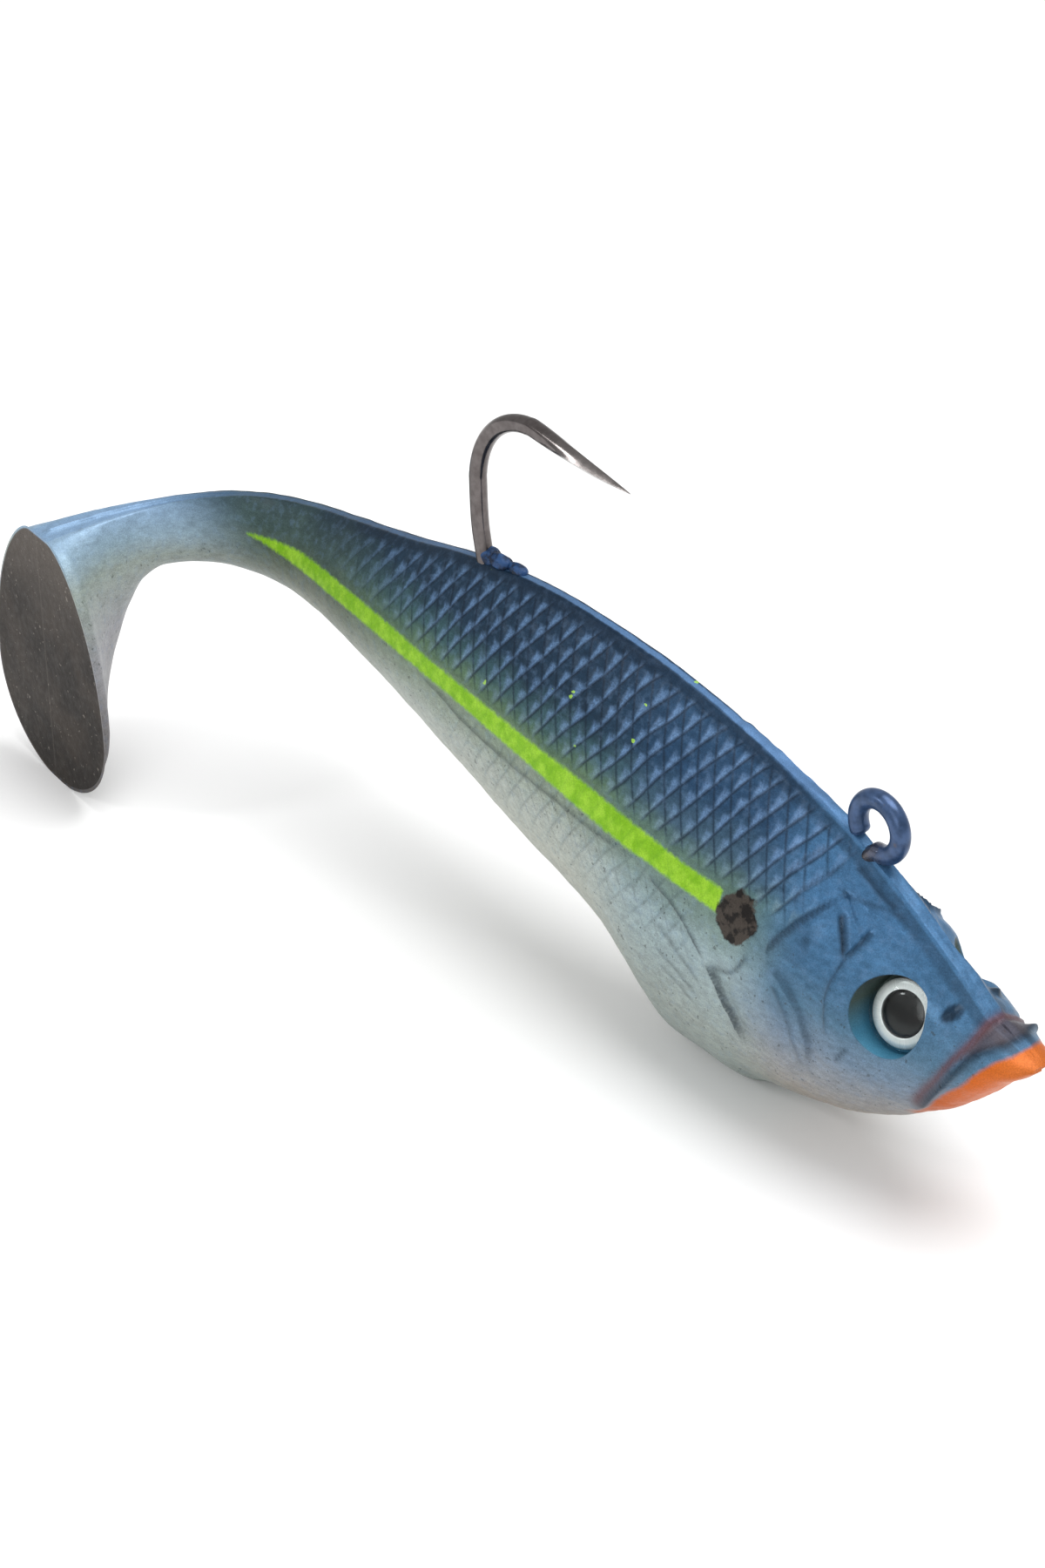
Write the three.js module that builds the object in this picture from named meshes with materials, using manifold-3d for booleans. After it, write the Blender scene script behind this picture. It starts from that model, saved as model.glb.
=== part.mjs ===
// A pre-rigged soft swimbait: one soft casting that bends at three places, a cast weight,
// a wire hook with a formed line-tie ring, and two moulded eyes.
// Millimetres. +X points to the snout, +Y to the fish's left, +Z up. The origin is on the
// small flat of the belly that the bait rests on. The tail is curled to the fish's right.

import * as THREE from "three";
import { mergeVertices } from "three/addons/utils/BufferGeometryUtils.js";
import Module from "manifold-3d";

const wasm = await Module();
wasm.setup();

// ---------------------------------------------------------------- driving dimensions

const GAP = 0.3;                    // clearance between pieces that touch on the real bait
const SNOUT_X = 30.2;               // foremost point of the snout
const TAIL_X = -76.4;               // rear face of the paddle, measured along the spine

const CURL_START_X = -45.7;         // the spine is straight ahead of this
const CURL_LENGTH = 32.4;           // the curl would be complete this far behind it
const CURL_ANGLE = THREE.MathUtils.degToRad(85);

const JOINT_X = { body: -35.8, stem: -51, kick: -65.2 };     // hinge places along the spine
const FLEX_LENGTH = { body: 5.4, stem: 5, kick: 4.6 };       // soft length that each one bends

const WIRE_RADIUS = 0.7;
const LOWER_BEND = { x: -23.2, z: 31.2, radius: 6.8 };       // centre line of the hook's bend
const UPPER_BEND = { x: -24, z: 36.2, radius: 6.7 };
const POINT_TIP = { x: -13.1, z: 41.8 };
const POINT_LENGTH = 6.2;
const LINE_TIE = { x: 13.65, z: 26.6, radius: 2.05 };        // centre line of the ring

const SLEEVE = { x: 6, z: 20.8, half: [9.4, 2.8, 3] };       // lead around the shank
const KEEL = { x: 5, z: 12.5, half: [7.5, 3.9, 6.5] };       // lead that hangs under it
const KEEPER = { x: -6.9, z: 21.3, length: 6.5, radius: 2 };

const EYE_CENTRE = { x: 19.8, z: 15.5, out: 2.8 };           // out is from the middle plane
const EYE_YAW = THREE.MathUtils.degToRad(13);                // the eyes look a little forward
const EYE_PITCH = THREE.MathUtils.degToRad(22);              // and a little up, as the head slopes
const SOCKET_RADIUS = 3.1;
const EYE_RADIUS = 2.45;
const PUPIL_RADIUS = 1.65;

// Station tables along the spine, each [x, value], read with a smooth curve.
const BACK = [
  [30.2, 15.6], [29.6, 15.9], [28.3, 16.3], [25.8, 17.2], [23.4, 18.9], [20.5, 20.7], [16, 23.2], [10, 25.8],
  [0, 28.4], [-10, 30], [-20, 30.6], [-30, 29.8], [-40, 27.9], [-50, 26.3], [-60, 25.1], [-68, 23.9], [-76.4, 23.1],
];
const BELLY = [
  [30.2, 15.2], [29.5, 14.5], [28, 13.2], [25, 10], [20, 6], [15, 3.2], [10, 1.6], [5.5, 0.5],
  [3.2, -0.4], [-3, -0.5], [-4.8, 0.5], [-7, 2.3], [-10, 4.4], [-15, 6.2], [-20, 7.5], [-30, 10.9], [-40, 14.1],
  [-50, 16.5], [-58, 18.1], [-63, 18.6], [-66, 18.4], [-68, 17.4], [-69.8, 14.5], [-71.2, 11], [-72.6, 7.5],
  [-74, 4], [-75.3, 1.2], [-76.4, -0.05],
];
const HALF_WIDTH = [
  [30.2, 0.9], [29.5, 1.7], [28, 2.6], [25, 4], [20, 5.4], [15, 6.4], [10, 7], [3, 7.2],
  [-5, 7.1], [-10, 6.8], [-20, 6.1], [-30, 5.4], [-40, 4.3], [-50, 3.1], [-58, 2], [-64, 1.6],
  [-68, 1.9], [-71, 3], [-73, 4.9], [-74.5, 7.2], [-75.5, 9], [-76.4, 9.4],
];
const WIDEST_AT = [                 // height of the widest point, as a share of the section
  [30.2, 0.5], [20, 0.5], [5, 0.42], [-20, 0.45], [-50, 0.5], [-66, 0.5], [-71, 0.42], [-76.4, 0.34],
];
const RIDGE = [                     // half the width of the flat strip along the back
  [30.2, 0.3], [25, 0.6], [10, 0.5], [0, 0.45], [-55, 0.5], [-66, 0.8], [-71, 1.2], [-76.4, 1.6],
];
const BACK_TAPER = [                // 1 is a round back, 2 falls away straight from a sharp ridge
  [30.2, 1.2], [27, 1.8], [23, 2.5], [15, 2.4], [8, 2.1], [-60, 2], [-70, 1.6], [-76.4, 1.3],
];
const BELLY_TAPER = [
  [30.2, 1], [20, 1.2], [10, 1.4], [-15, 1.5], [-60, 1.3], [-70, 1.1], [-76.4, 1],
];
const SECTION_POINTS = 36;

// ---------------------------------------------------------------- curves and sections

/** Reads a station table at x with a cubic that never overshoots the listed values. */
function read(table, x) {
  const i = Math.min(Math.max(table.findIndex((row) => row[0] <= x), 1), table.length - 1);
  const slope = (k) => (table[k + 1][1] - table[k][1]) / (table[k + 1][0] - table[k][0]);
  const tangent = (k) => {
    if (k === 0 || k === table.length - 1) return slope(Math.min(k, table.length - 2));
    const [a, b] = [slope(k - 1), slope(k)];
    return a * b <= 0 ? 0 : (2 * a * b) / (a + b);
  };
  const [x0, y0] = table[i - 1];
  const [x1, y1] = table[i];
  const h = x1 - x0;
  const t = THREE.MathUtils.clamp((x - x0) / h, 0, 1);
  const rise = (3 - 2 * t) * t * t;
  return y0 + (y1 - y0) * rise + h * t * (1 - t) * ((1 - t) * tangent(i - 1) - t * tangent(i));
}

/** Heading of the spine, in radians turned from straight back towards the fish's right. */
function heading(x) {
  const t = THREE.MathUtils.clamp((CURL_START_X - x) / CURL_LENGTH, 0, 1);
  return CURL_ANGLE * t * t * (3 - 2 * t);
}

/** Places a point given along the spine, to the fish's left and up. */
function place(x, left, up) {
  const steps = Math.ceil(Math.max(CURL_START_X - x, 0) * 4);
  const spine = new THREE.Vector2(Math.max(x, CURL_START_X), 0);
  const step = steps ? (CURL_START_X - x) / steps : 0;
  for (let k = 0; k < steps; k += 1) {
    const angle = heading(CURL_START_X - (k + 0.5) * step);
    spine.x -= step * Math.cos(angle);
    spine.y -= step * Math.sin(angle);
  }
  const angle = heading(x);
  return new THREE.Vector3(spine.x - left * Math.sin(angle), spine.y + left * Math.cos(angle), up);
}

/** One closed section of the soft body at x, as points on the fish's skin. */
function section(x) {
  const top = read(BACK, x);
  const bottom = read(BELLY, x);
  const widest = bottom + (top - bottom) * read(WIDEST_AT, x);
  const halfWidth = read(HALF_WIDTH, x);
  const ridge = Math.min(read(RIDGE, x), 0.8 * halfWidth);
  return Array.from({ length: SECTION_POINTS }, (_, k) => {
    const angle = (2 * Math.PI * k) / SECTION_POINTS;
    const above = k <= SECTION_POINTS / 2;
    const across = Math.abs(Math.cos(angle)) ** read(above ? BACK_TAPER : BELLY_TAPER, x);
    const upward = Math.abs(Math.sin(angle));
    const onMiddle = k % (SECTION_POINTS / 2) === SECTION_POINTS / 4;
    const flat = above ? ridge : 0;
    const left = onMiddle ? 0 : Math.sign(Math.cos(angle)) * (flat + (halfWidth - flat) * across);
    return place(x, left, above ? widest + (top - widest) * upward : widest - (widest - bottom) * upward);
  });
}

// ---------------------------------------------------------------- solids

/** Skins a row of equal closed sections and closes both ends. */
function loft(sections) {
  const around = sections[0].length;
  const ends = [sections[0], sections[sections.length - 1]].map((ring) =>
    ring.reduce((sum, p) => sum.add(p), new THREE.Vector3()).divideScalar(around));
  const index = [];
  for (let i = 0; i < sections.length - 1; i += 1) {
    for (let k = 0; k < around; k += 1) {
      const a = i * around + k;
      const b = i * around + ((k + 1) % around);
      index.push(a, a + around, b, b, a + around, b + around);
    }
  }
  const first = sections.length * around;
  for (let k = 0; k < around; k += 1) {
    const next = (k + 1) % around;
    index.push(first, k, next, first + 1, first - around + next, first - around + k);
  }
  const geometry = new THREE.BufferGeometry().setFromPoints([...sections.flat(), ...ends]);
  return geometry.setIndex(index);
}

/** Soft casting between two places on the spine, with stations no further apart than step. */
function bodyBetween(front, rear, step) {
  const count = Math.ceil((front - rear) / step);
  const stations = Array.from({ length: count + 1 }, (_, k) => front + ((rear - front) * k) / count);
  return loft(stations.map(section));
}

function toSolid(geometry) {
  const bare = geometry.clone();
  bare.deleteAttribute("normal");
  bare.deleteAttribute("uv");
  const merged = mergeVertices(bare, 1e-4);
  return new wasm.Manifold(new wasm.Mesh({
    numProp: 3,
    vertProperties: new Float32Array(merged.attributes.position.array),
    triVerts: new Uint32Array(merged.index.array),
  }));
}

function toGeometry(solid) {
  const mesh = solid.getMesh();
  const geometry = new THREE.BufferGeometry();
  geometry.setAttribute("position", new THREE.BufferAttribute(mesh.vertProperties, 3));
  geometry.setIndex(new THREE.BufferAttribute(mesh.triVerts, 1));
  return geometry;
}

/** Everything at or above the resting plane, as a solid to keep. */
function aboveGround() {
  const size = 300;
  return toSolid(new THREE.BoxGeometry(size, size, size).translate(0, 0, size / 2));
}

/** A lathe profile of [radius, height] set on one eye's axis, height 0 at the eye's plane. */
function onEyeAxis(profile, side) {
  const lathe = new THREE.LatheGeometry(profile.map(([r, h]) => new THREE.Vector2(r, h)), 32);
  lathe.rotateX(side > 0 ? EYE_PITCH : Math.PI - EYE_PITCH).rotateZ(-side * EYE_YAW);
  return lathe.translate(EYE_CENTRE.x, side * EYE_CENTRE.out, EYE_CENTRE.z);
}

// ---------------------------------------------------------------- hook

/** Points on a circle in the middle plane, from one angle to another in degrees. */
function arc({ x, z, radius }, from, to) {
  const count = Math.ceil(Math.abs(to - from) / 15);
  return Array.from({ length: count + 1 }, (_, k) => {
    const angle = THREE.MathUtils.degToRad(from + ((to - from) * k) / count);
    return new THREE.Vector3(x + radius * Math.cos(angle), 0, z + radius * Math.sin(angle));
  });
}

/** Centre line of the wire, from the free end of the ring to where the point starts. */
function wirePath() {
  const at = (x, z) => new THREE.Vector3(x, 0, z);
  const ring = arc(LINE_TIE, 222, -90);
  const neck = [at(11, 22.3), at(8, 21.1)];
  const shank = [at(0, 21.5), at(-12, 22.9)];
  const bend = [...arc(LOWER_BEND, 262, 186), ...arc(UPPER_BEND, 178, 84)];
  return new THREE.CatmullRomCurve3([...ring, ...neck, ...shank, ...bend]);
}

/** A round wire of the given radius along a curve. */
function wire(curve, radius, sides, steps) {
  const circle = new THREE.Shape();
  for (let k = 0; k < sides; k += 1) {
    const angle = (2 * Math.PI * k) / sides;
    circle[k ? "lineTo" : "moveTo"](radius * Math.cos(angle), radius * Math.sin(angle));
  }
  circle.closePath();
  return new THREE.ExtrudeGeometry(circle, { extrudePath: curve, steps, curveSegments: 1 });
}

/** Straight spear from the end of the bend to the sharp tip. */
function spear(from, radius) {
  const tip = new THREE.Vector3(POINT_TIP.x, 0, POINT_TIP.z);
  const length = from.distanceTo(tip);
  const profile = [
    [0, -0.4],
    [radius, -0.4],
    [radius, length - POINT_LENGTH],
    [radius * 0.72, length - 2.6],
    [0, length],
  ];
  const lathe = new THREE.LatheGeometry(profile.map(([r, h]) => new THREE.Vector2(r, h)), 10);
  const along = tip.clone().sub(from).normalize();
  const turn = new THREE.Quaternion().setFromUnitVectors(new THREE.Vector3(0, 1, 0), along);
  return lathe.applyQuaternion(turn).translate(from.x, from.y, from.z);
}

function hookSolid(radius) {
  const path = wirePath();
  return toSolid(wire(path, radius, 10, 110)).add(toSolid(spear(path.getPoint(1), radius)));
}

// ---------------------------------------------------------------- weight and eyes

/** One rounded lobe of the cast weight. */
function lobe({ x, z, half }, extra) {
  const sphere = new THREE.SphereGeometry(1, 24, 14);
  return toSolid(sphere.scale(...half.map((size) => size + extra)).translate(x, 0, z));
}

/** Cast weight: a sleeve around the shank, a keel under it and a barbed keeper behind it. */
function weightSolid(extra) {
  const { x, z, length, radius } = KEEPER;
  const barb = [[0, -extra], [radius + extra, -extra], [radius * 0.6 + extra, length], [0, length + extra]];
  const keeper = new THREE.LatheGeometry(barb.map(([r, h]) => new THREE.Vector2(r, h)), 16);
  keeper.rotateZ(-Math.PI / 2).translate(x, 0, z);
  return lobe(SLEEVE, extra).add(lobe(KEEL, extra)).add(toSolid(keeper));
}

/** Round socket that opens to one side of the head. */
function socketSolid(side) {
  const floor = -0.5 - GAP;
  return toSolid(onEyeAxis([[0, floor], [SOCKET_RADIUS - 0.25, floor], [SOCKET_RADIUS + 0.2, 7], [0, 7]], side));
}

/** Foil ring, pupil disc and domed clear lens of one eye. */
function eyePieces(side) {
  const inner = PUPIL_RADIUS + GAP / 2;
  const outer = PUPIL_RADIUS - GAP / 2;
  const rim = EYE_RADIUS;
  const foil = [[inner, -0.5], [rim, -0.5], [rim, 0], [rim - 0.3, 0.3], [inner + 0.15, 0.15], [inner, -0.5]];
  const pupil = [[0, -0.5], [outer, -0.5], [outer, 0], [outer * 0.6, 0.2], [0, 0.27]];
  const lens = [[0, 0.6], [rim, 0.6], [rim, 0.75], [rim * 0.8, 1.2], [rim * 0.45, 1.5], [0, 1.6]];
  return [foil, pupil, lens].map((profile) => onEyeAxis(profile, side));
}

// ---------------------------------------------------------------- materials

function finish(color, roughness, metalness = 0) {
  return new THREE.MeshStandardMaterial({ color, roughness, metalness });
}

const softBlue = finish(0x2f5480, 0.38, 0.15);
const softTail = finish(0x8fa3b5, 0.42, 0.05);
const softFlex = finish(0x6c8aa6, 0.45);
const castLead = finish(0x74767a, 0.6, 0.7);
const blackNickel = finish(0x3c3b3c, 0.28, 1);
const eyeSilver = finish(0xd9dcde, 0.2, 1);
const eyeBlack = finish(0x0b0b0d, 0.15);
const eyeClear = finish(0xdfe9ee, 0.05);

// ---------------------------------------------------------------- assembly

const bait = new THREE.Group();
bait.name = "swimbait";

function add(name, geometry, material) {
  const mesh = new THREE.Mesh(geometry, material);
  mesh.name = name;
  bait.add(mesh);
}

const edge = (joint, side) => JOINT_X[joint] + (side * FLEX_LENGTH[joint]) / 2;

function softBodyFront() {
  const hollow = weightSolid(GAP).add(hookSolid(WIRE_RADIUS + GAP));
  const skin = toSolid(bodyBetween(SNOUT_X, edge("body", 1), 1.8)).intersect(aboveGround());
  const openHead = skin.subtract(socketSolid(1)).subtract(socketSolid(-1));
  return openHead.subtract(hollow);
}

function paddle() {
  return toSolid(bodyBetween(edge("kick", -1), TAIL_X, 0.55)).intersect(aboveGround());
}

add("soft_body_front", toGeometry(softBodyFront()), softBlue);
add("soft_body_rear", bodyBetween(edge("body", -1), edge("stem", 1), 1.6), softBlue);
add("tail_stem", bodyBetween(edge("stem", -1), edge("kick", 1), 1.2), softTail);
add("paddle_tail", toGeometry(paddle()), softTail);
for (const joint of ["body", "stem", "kick"]) {
  add(`${joint}_flexure`, bodyBetween(edge(joint, 1) - GAP, edge(joint, -1) + GAP, 1.3), softFlex);
}
add("lead_weight", toGeometry(weightSolid(0).subtract(hookSolid(WIRE_RADIUS + GAP))), castLead);
add("hook", toGeometry(hookSolid(WIRE_RADIUS)), blackNickel);
for (const [name, side] of [["left", 1], ["right", -1]]) {
  const [foil, pupil, lens] = eyePieces(side);
  add(`eye_foil_${name}`, foil, eyeSilver);
  add(`eye_pupil_${name}`, pupil, eyeBlack);
  add(`eye_lens_${name}`, lens, eyeClear);
}

export default bait;
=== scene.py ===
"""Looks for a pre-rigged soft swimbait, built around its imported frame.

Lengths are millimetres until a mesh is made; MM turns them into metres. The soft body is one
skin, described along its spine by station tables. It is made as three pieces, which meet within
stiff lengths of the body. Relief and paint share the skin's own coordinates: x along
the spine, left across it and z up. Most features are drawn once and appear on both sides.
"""

import math

import bpy
import numpy as np
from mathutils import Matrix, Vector
from mathutils.bvhtree import BVHTree


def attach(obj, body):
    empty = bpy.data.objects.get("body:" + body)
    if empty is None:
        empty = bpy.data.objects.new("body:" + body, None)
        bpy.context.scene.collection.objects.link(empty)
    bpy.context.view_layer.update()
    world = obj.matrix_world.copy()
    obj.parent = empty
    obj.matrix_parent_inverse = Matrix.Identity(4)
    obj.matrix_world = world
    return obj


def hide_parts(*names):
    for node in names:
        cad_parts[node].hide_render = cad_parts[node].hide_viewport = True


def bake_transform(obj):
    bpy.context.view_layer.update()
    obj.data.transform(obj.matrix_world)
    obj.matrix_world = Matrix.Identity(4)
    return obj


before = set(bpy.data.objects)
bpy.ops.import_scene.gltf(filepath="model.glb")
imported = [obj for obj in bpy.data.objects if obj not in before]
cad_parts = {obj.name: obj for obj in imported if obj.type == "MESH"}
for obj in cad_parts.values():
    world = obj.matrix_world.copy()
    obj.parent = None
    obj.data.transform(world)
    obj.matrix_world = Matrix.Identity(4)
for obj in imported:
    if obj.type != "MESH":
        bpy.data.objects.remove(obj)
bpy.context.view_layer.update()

MM = 0.001

# ---------------------------------------------------------------- driving dimensions

SNOUT_X, TAIL_X = 30.2, -76.4            # ends of the fish, measured along the spine
CURL_START_X, CURL_LENGTH, CURL_ANGLE = -45.7, 32.4, math.radians(85)
JOINTS = {"body": -35.8, "stem": -51, "kick": -65.2}
BEND = {"body": 4.6, "stem": 3.6, "kick": 3.2}          # half the length that each one bends
CUTS = {"front": -43.5, "rear": -58}     # where one skin piece ends and the next begins

SKIN_STEP = 0.225                        # distance between stations along the spine
HALF_RING = 140                          # skin points from the keel up to the ridge

EYE = {"x": 19.8, "z": 15.5, "out": 2.8, "yaw": math.radians(13), "pitch": math.radians(22)}
SOCKET_RADIUS, SOCKET_FLOOR = 2.8, -0.75
SOCKET_MOUTH = (-0.37, -0.24, 2.88)     # where its rim is centred on the eye, and its radius
FOIL_RADIUS, PUPIL_RADIUS = 2.5, 1.65

EYE_BACK, EYE_GAP = -0.5, 0.06           # how deep an eye's parts start, and what parts them
DOME_FOOT, DOME_RISE = 0.45, 0.75

SCALE_LENGTH, SCALE_ROW = 1.74, 1.36     # one scale along the body, and from row to row
SCALE_HEIGHT = 0.16
PADDLE_REACH = 0.55                      # how far the paddle's face is moved rearwards

WIRE_RADIUS, RING_WIRE_RADIUS = 0.7, 0.74
LINE_TIE = (13.65, 26.6, 2.08)           # x, z and radius of the centre line
LOWER_BEND = (-23.2, 31.2, 6.8)
UPPER_BEND = (-24.2, 36.4, 6.55)
POINT_TIP, POINT_LENGTH = (-13.1, 41.8), 8.5

# Station tables along the spine, each (x, value), read with a smooth curve.
BACK = [
    (30.2, 15.6), (29.6, 15.9), (28.3, 16.3), (25.8, 17.2), (23.4, 18.9), (20.5, 20.7), (16, 23.2),
    (10, 25.8), (0, 28.4), (-10, 30), (-20, 30.6), (-30, 29.8), (-40, 27.9), (-50, 26.3),
    (-60, 25.1), (-68, 23.9), (-76.4, 23.1),
]
BELLY = [
    (30.2, 15.2), (29.5, 14.5), (28, 13.2), (25, 10), (20, 6), (15, 3.2), (10, 1.6), (5.5, 0.5),
    (3.2, -0.4), (-3, -0.5), (-4.8, 0.5), (-7, 2.3), (-10, 4.4), (-15, 6.2), (-20, 7.5),
    (-30, 10.9), (-40, 14.1), (-50, 16.5), (-58, 18.1), (-63, 18.6), (-66, 18.4), (-68, 17.4),
    (-69.8, 14.5), (-71.2, 11), (-72.6, 7.5), (-74, 4), (-75.3, 1.2), (-76.4, -0.05),
]
HALF_WIDTH = [
    (30.2, 0.9), (29.5, 1.7), (28, 2.6), (25, 4), (20, 5.4), (15, 6.4), (10, 7), (3, 7.2),
    (-5, 7.1), (-10, 6.8), (-20, 6.1), (-30, 5.4), (-40, 4.3), (-50, 3.1), (-58, 2),
    (-64, 1.6), (-68, 1.9), (-71, 3), (-73, 4.9), (-74.5, 7.2), (-75.5, 9), (-76.4, 9.4),
]
WIDEST_AT = [
    (30.2, 0.5), (20, 0.5), (5, 0.42), (-20, 0.45), (-50, 0.5), (-66, 0.5), (-71, 0.42), (-76.4, 0.34),
]
RIDGE = [
    (30.2, 0.3), (25, 0.6), (10, 0.5), (0, 0.45), (-55, 0.5), (-66, 0.8), (-71, 1.2), (-76.4, 1.6),
]
BACK_TAPER = [(30.2, 1.2), (27, 1.8), (23, 2.5), (15, 2.4), (8, 2.1), (-60, 2), (-70, 1.6), (-76.4, 1.3)]
BELLY_TAPER = [(30.2, 1), (20, 1.2), (10, 1.4), (-15, 1.5), (-60, 1.3), (-70, 1.1), (-76.4, 1)]

# The painted stripe's upper and lower edges, and the height that the scale rows follow.
STRIPE_TOP = [
    (16, 18.2), (4.2, 19), (0, 19.25), (-5, 19.95), (-10, 20.8), (-20, 21.6), (-30, 22.4),
    (-40, 22.9), (-50, 23.1), (-54, 22.9), (-58, 22.65), (-76.4, 21),
]
STRIPE_FOOT = [
    (4.2, 17.35), (0, 17.6), (-5, 18.1), (-10, 18.8), (-20, 20), (-30, 21), (-40, 21.4),
    (-50, 21.7), (-54, 22), (-58, 22.6),
]
STRIPE_ENDS = (4.2, -58)

# Lines cut into one side: points (x, z), half width of the cut and its depth.
ENGRAVED = [
    ([(16.3, 20.9), (15.8, 19.6), (15.5, 18.4), (15.2, 16.2), (15.6, 14.2), (15.9, 12.6)], 0.16, 0.12),
    ([(13.4, 21), (14.5, 19.7), (15.5, 18.4)], 0.2, 0.4),
    ([(16.2, 20.6), (15.9, 19.5), (15.5, 18.5)], 0.22, 0.25),
    ([(12.8, 21.6), (11.8, 20.3), (10.8, 19), (9.7, 17.4), (9.5, 16.3)], 0.17, 0.22),
    ([(9.5, 16.2), (11.4, 15.3), (12.9, 14.1), (13.7, 12.7), (14.2, 11), (13.6, 8.6)], 0.22, 0.09),
    ([(10.2, 15.2), (12.1, 13.3), (12.9, 11), (13.4, 8.4)], 0.2, 0.07),
    ([(17.7, 12.8), (17, 11.9), (16.4, 10.9)], 0.12, 0.14),
    ([(8.1, 16), (7.3, 14.5), (6.4, 13.6), (5.2, 13.3), (3.8, 13)], 0.15, 0.16),
    ([(4, 13.3), (5.2, 12.5), (6.2, 11.2), (7.1, 10), (7.8, 8.2)], 0.18, 0.26),
    ([(4, 13.3), (2.3, 14.7), (0.4, 15.9), (-1.9, 16.7), (-3.3, 17.1)], 0.17, 0.2),
    ([(3.9, 11.1), (1.2, 12.7), (-2, 14.2)], 0.16, 0.07),
    ([(3.6, 10), (0.6, 11.4), (-1.6, 12)], 0.16, 0.07),
    ([(3.2, 9), (0.8, 10.2), (-0.9, 10.7)], 0.16, 0.05),
    ([(17.4, 21.8), (15.6, 22.4), (13.7, 23.3), (12.8, 23.5)], 0.15, 0.16),
    ([(18.4, 21.4), (16.2, 21.8), (13.6, 21.9), (12.5, 22.3)], 0.13, 0.12),
    ([(9.6, 20.7), (8.6, 20.9), (7.2, 20.2), (6.4, 19.9)], 0.13, 0.1),
    ([(10.7, 24.4), (9.6, 23.3), (8.8, 22), (8.9, 20.8)], 0.12, 0.12),
    ([(12.3, 23.6), (11.2, 22.6), (10.2, 21.1), (10.5, 20)], 0.12, 0.12),
    ([(-3.1, 17.7), (-9, 18), (-14, 18.4), (-20, 18.8), (-25, 19.4), (-29, 20.4), (-33, 21)], 0.16, 0.12),
]
# Plates that stand up in front of a line and sink back into the skin: points, height, reach.
PLATES = [
    ([(13.2, 22.1), (12.8, 21.6), (10.8, 19), (9.7, 17.4), (9.5, 16.3)], 0.42, 2.4),
    ([(9.5, 16.2), (11.4, 15.3), (12.9, 14.1), (13.7, 12.7), (14.2, 11), (13.6, 8.6)], 0.32, 2),
    ([(4, 13.3), (5.2, 12.5), (6.2, 11.2), (7.1, 10), (7.8, 8.2), (8.2, 6.5)], 0.42, 2.2),
    ([(15.9, 21), (15.5, 18.4), (15.2, 16.2), (15.6, 14.2), (16, 12)], -0.25, 2.2),
    ([(19.2, 20.4), (17.5, 21), (15.8, 21.2), (13.9, 21.9), (12.6, 22.6)], -0.22, 1.4),
]
FIN = [(4, 13.3), (2.3, 14.7), (0.4, 15.9), (-1.9, 16.7), (-3.3, 17.1)]
LIP = [(25.9, 18.2), (25.8, 17), (25.6, 15.8), (24.6, 13.4), (23, 10.9), (21.2, 8.4)]
MOUTH = [(28.3, 17.2), (27.9, 16.5), (26.8, 15.8), (26, 14.6), (24.7, 12.6), (22.6, 9.7), (20.8, 7.5)]
THROAT = [
    (28.9, 17), (28.6, 16.2), (27.9, 15.7), (27.1, 14.8), (26, 13.3), (24.5, 11.6), (21.8, 8.7),
    (20.2, 7.2), (17.8, 5.3),
]
NOSTRIL = (23.65, 17.35)
SPOT = (6.1, 17.75, 2.05, 1.95)          # x, z and half sizes of the dark shoulder spot
SMUDGE = (12.1, 18.5)

# Beads of set plastic where the hook comes out: name, centre and half sizes.
BEADS = [
    ("exit_bead_rear", (-29.4, 0.05, 30.25), (1.15, 0.75, 0.75)),
    ("exit_bead_middle", (-27.9, -0.1, 30.45), (1.1, 0.65, 0.6)),
    ("exit_bead_front", (-26.0, 0.1, 30.45), (1.0, 0.55, 0.5)),
]

# Studio, in metres: name, place, size and power of each light, and the camera.
LIGHTS = [
    ("key", (0.05, 0.1, 0.55), 0.5, 2.7),
    ("fill", (0.3, -0.45, 0.3), 0.4, 0.7),
    ("strip", (-0.25, -0.4, 0.35), 0.1, 0.4),
]
LIGHTS_AIM = (-0.02, 0, 0.015)
WORLD_STRENGTH = 0.55
CAMERA_AT, CAMERA_AIM, CAMERA_LENS = (0.1568, -0.1476, 0.1527), (-0.0254, 0, 0.0118), 80
FLOOR_HALF, FLOOR_WHITE = 3, (0.94, 0.94, 0.94, 1)


# ---------------------------------------------------------------- curves

def read(table, x):
    """Reads a station table at x with a cubic that never overshoots the listed values."""
    at, value = np.array(sorted(table), float).T
    length = np.diff(at)
    slope = np.diff(value) / length
    tangent = np.concatenate([slope[:1], np.zeros(len(at) - 2), slope[-1:]])
    turns = slope[:-1] * slope[1:] <= 0
    pair = slope[:-1] + slope[1:]
    tangent[1:-1] = np.where(turns, 0, 2 * slope[:-1] * slope[1:] / np.where(turns, 1, pair))
    x = np.clip(x, at[0], at[-1])
    i = np.clip(np.searchsorted(at, x) - 1, 0, len(length) - 1)
    t = (x - at[i]) / length[i]
    rise = (3 - 2 * t) * t * t
    lean = length[i] * t * (1 - t) * ((1 - t) * tangent[i] - t * tangent[i + 1])
    return value[i] + (value[i + 1] - value[i]) * rise + lean


def smooth(value, low, high):
    """0 below low, 1 above high and smooth between; low may be the greater of the two."""
    t = np.clip((np.asarray(value, float) - low) / (high - low), 0, 1)
    return t * t * (3 - 2 * t)


def heading(x):
    """How far the spine has turned at x, from straight back towards the fish's right."""
    return CURL_ANGLE * smooth(CURL_START_X - np.asarray(x, float), 0, CURL_LENGTH)


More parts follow.
